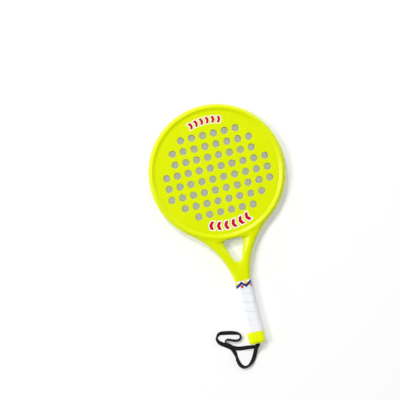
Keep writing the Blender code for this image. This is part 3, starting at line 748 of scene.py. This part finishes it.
def windingTree():
    tree, add, given = newTree(
        "woundStrip", Material="material", Int="rings sectionPoints cornerPoints",
        Float="pitch seam thickness inside lapStep edgeSoftness tip low high coreWidth coreThickness coreCorner "
              "middleHeight weld")
    pitch, seam, tip, low, high = (given[key] for key in ("pitch", "seam", "tip", "low", "high"))

    # a plain tube: its length becomes the strip's length, its round the strip's section
    tube = add("MeshCylinder", {"Vertices": given["sectionPoints"], "Side Segments": given["rings"], "Depth": 1.0},
               fill_type="NGON")
    axes = add("SeparateXYZ", [add("InputPosition")]).outputs
    squared = []
    for axis in axes[:2]:
        soft = add("Math POWER", [add("Math ABSOLUTE", [axis]), given["edgeSoftness"]])
        squared.append(add("Math MULTIPLY", [soft, add("Math SIGN", [axis])]))
    across = squared[0]

    # how far the strip has climbed, and where this point of it lies along the handle
    first = add("Math ADD", [seam, tip])
    reach = add("Math ADD", [add("Math SUBTRACT", [high, low]), pitch])
    final = add("Math SUBTRACT", [reach, tip])
    climb = add("MapRange", [axes[2], -0.5, 0.5, first, final])
    halfStrip = add("Math MULTIPLY", [add("Math SUBTRACT", [pitch, seam]), 0.5])
    middle = add("Math MULTIPLY_ADD", [add("Math ADD", [pitch, seam]), -0.5, climb])
    lifted = add("Math ADD", [middle, low])
    # the strip narrows to a point on its first and last turn, so that both its ends are level
    bottom = add("Math MAXIMUM", [add("Math SUBTRACT", [lifted, halfStrip]), low])
    top = add("Math MINIMUM", [add("Math ADD", [lifted, halfStrip]), high])
    along = add("MapRange", [across, -1.0, 1.0, bottom, top])

    # how far it stands off the core: the upper edge is thinner, since the next turn laps over it
    upper, outer = (add("MapRange", [side, -1.0, 1.0, 0.0, 1.0]) for side in squared)
    thick = add("Math SUBTRACT", [given["thickness"], add("Math MULTIPLY", [upper, given["lapStep"]])])
    stand = add("Math MULTIPLY_ADD", [outer, thick, given["inside"]])

    # the core's rounded section, and the way outwards from it
    coreSize = [given["coreWidth"], given["coreThickness"]]
    box = add("CurvePrimitiveQuadrilateral", dict(zip(("Width", "Height"), coreSize)))
    oval = add("FilletCurve", {"Curve": box, "Radius": given["coreCorner"], "Count": given["cornerPoints"]},
               mode="POLY")
    turn = add("Math FRACT", [add("Math DIVIDE", [climb, pitch])])
    spot = add("SampleCurve", {"Curves": oval, "Factor": turn}, mode="FACTOR").outputs["Position"]
    twoCorners = add("Math MULTIPLY", [given["coreCorner"], 2.0])
    inner = add("VectorMath SUBTRACT", [add("CombineXYZ", coreSize), add("CombineXYZ", [twoCorners, twoCorners])])
    most, least = (add("VectorMath MULTIPLY", [inner, [half] * 3]) for half in (0.5, -0.5))
    centre = add("VectorMath MAXIMUM", [add("VectorMath MINIMUM", [spot, most]), least])
    outward = add("VectorMath NORMALIZE", [add("VectorMath SUBTRACT", [spot, centre])])
    push = add("VectorMath SCALE", {0: outward, "Scale": stand})
    skin = add("SeparateXYZ", [add("VectorMath ADD", [spot, push])]).outputs
    height = add("Math ADD", [skin[1], given["middleHeight"]])
    where = add("CombineXYZ", [skin[0], along, height])

    marked = add("StoreNamedAttribute", {"Geometry": tube, "Name": "lap", "Value": across},
                 data_type="FLOAT", domain="POINT")
    closeTree(add, given, add("SetPosition", {"Geometry": marked, "Position": where}))
    return tree


# cushioned polyurethane strip: matt, pebbled skin, a little grey towards the laps, partly painted shade where the
# turns overlap and partly dust from hands
def cushionedPolyurethane():
    size = gripSizes
    material, add, shader = newMaterial("polyurethane_strip_white")
    place = add("TexCoord").outputs["Object"]
    # the strip's edges turn grey: painted shade in the lap grooves, with some dust from hands
    away = add("Math ABSOLUTE", [add("Attribute", attribute_name="lap").outputs["Fac"]])
    edge = add("MapRange", [away, size["wornFrom"], 1.0, 0.0, size["worn"]], interpolation_type="SMOOTHSTEP")
    cloud = add("TexNoise", {"Vector": place, "Scale": 1 / size["cloud"], "Detail": 3.0})
    base = add("Mix", {0: cloud, 6: toLinear("#EBEFF1"), 7: toLinear("#F5F7F8")}, data_type="RGBA")
    worn = add("Mix", {0: edge, 6: base.outputs[2], 7: toLinear("#E2E7E8")}, data_type="RGBA")
    # pebbles of about 0.4 mm on a real strip, drawn at 0.9 mm so that they show
    pebble = add("TexVoronoi", {"Vector": place, "Scale": 1 / size["grain"]}).outputs["Distance"]
    rough = add("MapRange", [pebble, 0.0, 0.8, 0.52, 0.68])
    bump = add("Bump", {"Strength": 0.35, "Distance": size["grainDepth"], "Height": pebble}, invert=True)
    feed(shader, {"Base Color": worn.outputs[2], "Roughness": rough, "Normal": bump, "Specular IOR Level": 0.35})
    return material


def makeGrip():
    size = gripSizes
    skin = cushionedPolyurethane()
    turns = (tapeHigh.y - tapeLow.y) / size["pitch"] + 1
    values = frameSizes | size | dict(low=tapeLow.y, high=tapeHigh.y, middleHeight=midZ, material=skin,
                                      rings=int(turns * size["turnSteps"]))
    mesh, bm = meshFromNodes("wound_grip", windingTree(), values)
    bm.to_mesh(mesh)
    bm.free()
    mesh.shade_smooth()
    mesh.set_sharp_from_angle(angle=math.radians(size["sharpDegrees"]))
    addPiece("wound_grip", mesh, skin, "paddle", "grip_tape")


makeGrip()

# film bands: one turn of thin tape and a short lap underneath, over each end of the grip
bandSizes = dict(inside=0.003, film=0.00017, lap=0.07, lapGap=0.00003, lapStart=0.03, steps=220, ringSteps=24,
                 sharpDegrees=40, motif=0.0144, zigzagLow=0.0036, zigzagRise=0.0060, zigzagHalf=0.0027,
                 sunHeight=0.0099, sunRadius=0.0029, dotHeight=0.0032, dotRadius=0.0025,
                 ripple=0.006, rippleStretch=4.0, rippleDepth=0.00015, cloud=0.012)


# points round the core at even steps from the middle of its underside, each with its way outwards
def roundTheCore(shares):
    ring = np.array(ovalSection(0, bandSizes["ringSteps"]))
    start = int(np.argmin(np.abs(ring[:, 0]) + (ring[:, 1] > 0)))
    ring = np.vstack((ring[start:], ring[:start]))
    middle = np.array([[0, -frameSizes["coreThickness"] / 2]])
    ring = np.vstack((middle, ring[1:] if abs(ring[0, 0]) < sameSpot else ring, middle))
    along = np.concatenate(([0], np.cumsum(np.linalg.norm(np.diff(ring, axis=0), axis=1))))
    at = np.mod(shares, 1) * along[-1]
    spots = np.stack([np.interp(at, along, ring[:, k]) for k in range(2)], axis=1)
    box = np.array([frameSizes["coreWidth"], frameSizes["coreThickness"]]) / 2 - frameSizes["coreCorner"]
    ways = spots - np.clip(spots, -box, box)
    return spots, ways / np.linalg.norm(ways, axis=1)[:, None], along[-1]


def makeBand(name, low, high, material, node):
    size = bandSizes
    film = size["film"]
    shares = np.linspace(0, 1 + size["lap"], size["steps"])
    spots, ways, girth = roundTheCore(shares)
    bm = bmesh.new()
    wrap = bm.loops.layers.uv.new("wrap")
    rows = []
    for share, spot, way in zip(shares, spots, ways):
        climb = (share - size["lap"] - size["lapStart"]) / (1 - size["lapStart"] - size["lap"])
        inside = size["inside"] + (film + size["lapGap"]) * min(max(climb, 0), 1)
        section = ((inside, low), (inside + film, low), (inside + film, high), (inside, high))
        rows.append([bm.verts.new((spot[0] + way[0] * d, y, midZ + spot[1] + way[1] * d)) for d, y in section])
    stitch(bm, rows)
    runs = {vert: share * girth for share, row in zip(shares, rows) for vert in row}
    for face in bm.faces:
        for loop in face.loops:
            loop[wrap].uv = (runs[loop.vert], loop.vert.co.y - low)
    bm.faces.new(rows[0])
    bm.faces.new(rows[-1])
    addPiece(name, meshFrom(bm, name, size["sharpDegrees"]), material, "paddle", node)


# what both films share: the gloss of polypropylene, with long ripples where it was pulled tight
def filmSkin(add, smooth, dull):
    size = bandSizes
    place = add("TexCoord").outputs["Object"]
    drawn = add("Mapping", {"Vector": place, "Scale": (1.0, size["rippleStretch"], 1.0)})
    ripple = add("TexNoise", {"Vector": drawn, "Scale": 1 / size["ripple"], "Detail": 2.0})
    shine = add("MapRange", [ripple, 0.3, 0.7, smooth, dull])
    bump = add("Bump", {"Strength": 0.3, "Distance": size["rippleDepth"], "Height": ripple})
    return {"IOR": 1.49, "Roughness": shine, "Normal": bump}


# printed polypropylene film: glossy, slightly rippled, with a zigzag, discs and dots in flat inks
def printedFilm():
    size = bandSizes
    half = size["motif"] / 2
    material, add, shader = newMaterial("polypropylene_film_printed")
    along, height = add("SeparateXYZ", [add("UVMap", uv_map="wrap")]).outputs[:2]
    near = add("Math PINGPONG", [along, half])
    far = add("Math SUBTRACT", [half, near])
    line = add("Math MULTIPLY_ADD", [near, size["zigzagRise"] / half, size["zigzagLow"]])
    offset = add("Math ABSOLUTE", [add("Math SUBTRACT", [height, line])])
    masks = [(offset, "zigzagHalf", "#1E2678")]
    for side, dot, ink in ((near, "sun", "#F6DF1C"), (far, "dot", "#D8332F")):
        flat = add("CombineXYZ", [side, add("Math SUBTRACT", [height, size[dot + "Height"]])])
        masks.append((add("VectorMath LENGTH", [flat]).outputs["Value"], dot + "Radius", ink))
    colour = toLinear("#F4F4F7")
    for reach, limit, ink in masks:
        mask = add("Math LESS_THAN", [reach, size[limit]])
        colour = add("Mix", {0: mask, 6: colour, 7: toLinear(ink)}, data_type="RGBA").outputs[2]
    feed(shader, filmSkin(add, 0.28, 0.40) | {"Base Color": colour})
    return material


# plain polypropylene film: smooth and faintly lavender
def plainFilm():
    material, add, shader = newMaterial("polypropylene_film_white")
    place = add("TexCoord").outputs["Object"]
    cloud = add("TexNoise", {"Vector": place, "Scale": 1 / bandSizes["cloud"], "Detail": 2.0})
    colour = add("Mix", {0: cloud, 6: toLinear("#F2F2F8"), 7: toLinear("#FAFAFC")}, data_type="RGBA")
    feed(shader, filmSkin(add, 0.24, 0.36) | {"Base Color": colour.outputs[2]})
    return material


makeBand("collar_wrap", collarLow.y, collarHigh.y, printedFilm(), "collar_band")
makeBand("end_wrap", endLow.y, endHigh.y, plainFilm(), "grip_end_band")
print("grip and bands done")

# butt cap: a moulded cup over the core's end, with a slot for the strap
capSizes = dict(offset=0.0035, round=0.005, lip=0.0006, floor=0.006, socket=0.0003, slotClear=0.0004,
                slotBevel=0.0004, slotCorner=0.0008, roundSteps=12, lipSteps=5, cornerSteps=12, slotSteps=5)


def slotSection(grow):
    size = capSizes
    corner = size["slotCorner"] + grow
    edge = size["slotClear"] + grow - corner
    return roundBox(strapSizes["width"] / 2 + edge, stack / 2 + edge, corner, size["slotSteps"])


def makeCap():
    size = capSizes
    lip, bend = size["lip"], size["round"]
    floorY = buttY + size["floor"]
    bm = bmesh.new()

    def ringAt(section, y):
        return [bm.verts.new((x, y, midZ + z)) for x, z in section]

    def wallAt(offset, y):
        return ringAt(ovalSection(offset, size["cornerSteps"]), y)

    rows = [wallAt(size["socket"], floorY)]
    turns = [quarterTurn * k / size["lipSteps"] for k in range(size["lipSteps"] + 1)]
    for way, offset in ((1, size["socket"]), (-1, size["offset"])):
        for turn in turns[::way]:
            rows.append(wallAt(offset + way * lip * (1 - math.cos(turn)), capHigh.y - lip * (1 - math.sin(turn))))
    for k in range(size["roundSteps"] + 1):
        turn = quarterTurn * k / size["roundSteps"]
        rows.append(wallAt(size["offset"] - bend * (1 - math.cos(turn)), buttY + bend * (1 - math.sin(turn))))
    bevel = size["slotBevel"]
    slot = [ringAt(slotSection(grow), y) for grow, y in ((bevel, buttY), (0, buttY + bevel), (0, floorY))]
    stitch(bm, rows)
    stitch(bm, slot)
    fillBetween(bm, (rows[-1], slot[0]), (0, -1, 0))
    fillBetween(bm, (rows[0], slot[-1]), (0, 1, 0))
    capAbs = mouldedAbs("moulded_abs_lime_cap", "#EEF806", "#E5F202")[0]
    addPiece("cap_moulding", meshFrom(bm, "cap_moulding"), capAbs, "paddle", "butt_cap")


makeCap()
print("cap done")

# floor and light
stageSizes = dict(floor=16.0, floorDrop=0.0001, floorLift=0.33, wallTop=0.12, ceiling=0.6, horizon=0.95,
                  zenith=0.06, lamps=[
    dict(name="window", turn=158, height=52, distance=6.0, size=2.0, power=178),
    dict(name="lamp", turn=105, height=52, distance=6.0, size=1.2, power=178),
    dict(name="fill", turn=28, height=38, distance=6.0, size=6.4, power=70),
])


def makeFloor():
    bm = bmesh.new()
    half = stageSizes["floor"] / 2
    corners = ((-half, -half), (half, -half), (half, half), (-half, half))
    bm.faces.new([bm.verts.new((x, y, -stageSizes["floorDrop"])) for x, y in corners])
    # white studio paper, lifted towards pure white where the eye or a reflection sees it, shadows kept
    material, add, shader = newMaterial("studio_paper_white")
    feed(shader, {"Base Color": toLinear("#FDFDFD"), "Roughness": 0.9})
    rays = add("LightPath").outputs
    seen = add("Math ADD", [rays["Is Camera Ray"], rays["Is Glossy Ray"]])
    every = add("Math ADD", [seen, rays["Is Transmission Ray"]], use_clamp=True)
    share = add("Math MULTIPLY", [every, stageSizes["floorLift"]])
    mixed = add("MixShader", [share, shader, add("Emission")])
    feed(material.node_tree.nodes["Material Output"], {"Surface": mixed})
    mesh = meshFrom(bm, "floor")
    mesh.materials.append(material)
    floor = bpy.data.objects.new("floor", mesh)
    scene.collection.objects.link(floor)


def makeLight():
    for lamp in stageSizes["lamps"]:
        data = bpy.data.lights.new(lamp["name"], "AREA")
        data.shape = "DISK"
        data.size = lamp["size"]
        data.energy = lamp["power"]
        light = bpy.data.objects.new(lamp["name"], data)
        turn = math.radians(lamp["turn"])
        tilt = math.radians(lamp["height"])
        way = Vector((math.cos(turn) * math.cos(tilt), math.sin(turn) * math.cos(tilt), math.sin(tilt)))
        light.location = way * lamp["distance"]
        light.rotation_euler = way.to_track_quat("Z", "Y").to_euler()
        scene.collection.objects.link(light)
    # pale walls all round and a dim ceiling, which keeps level surfaces free of haze
    world = bpy.data.worlds.new("studio")
    world.use_nodes = True
    add = partial(addNode, world.node_tree)
    rise = add("SeparateXYZ", [add("TexCoord").outputs["Generated"]]).outputs[2]
    levels = [stageSizes[key] for key in ("wallTop", "ceiling", "horizon", "zenith")]
    level = add("MapRange", [rise, *levels], interpolation_type="SMOOTHSTEP")
    feed(world.node_tree.nodes["Background"], {"Color": (1, 1, 1, 1), "Strength": level})
    scene.world = world
    scene.view_settings.view_transform = "Standard"


makeFloor()
makeLight()
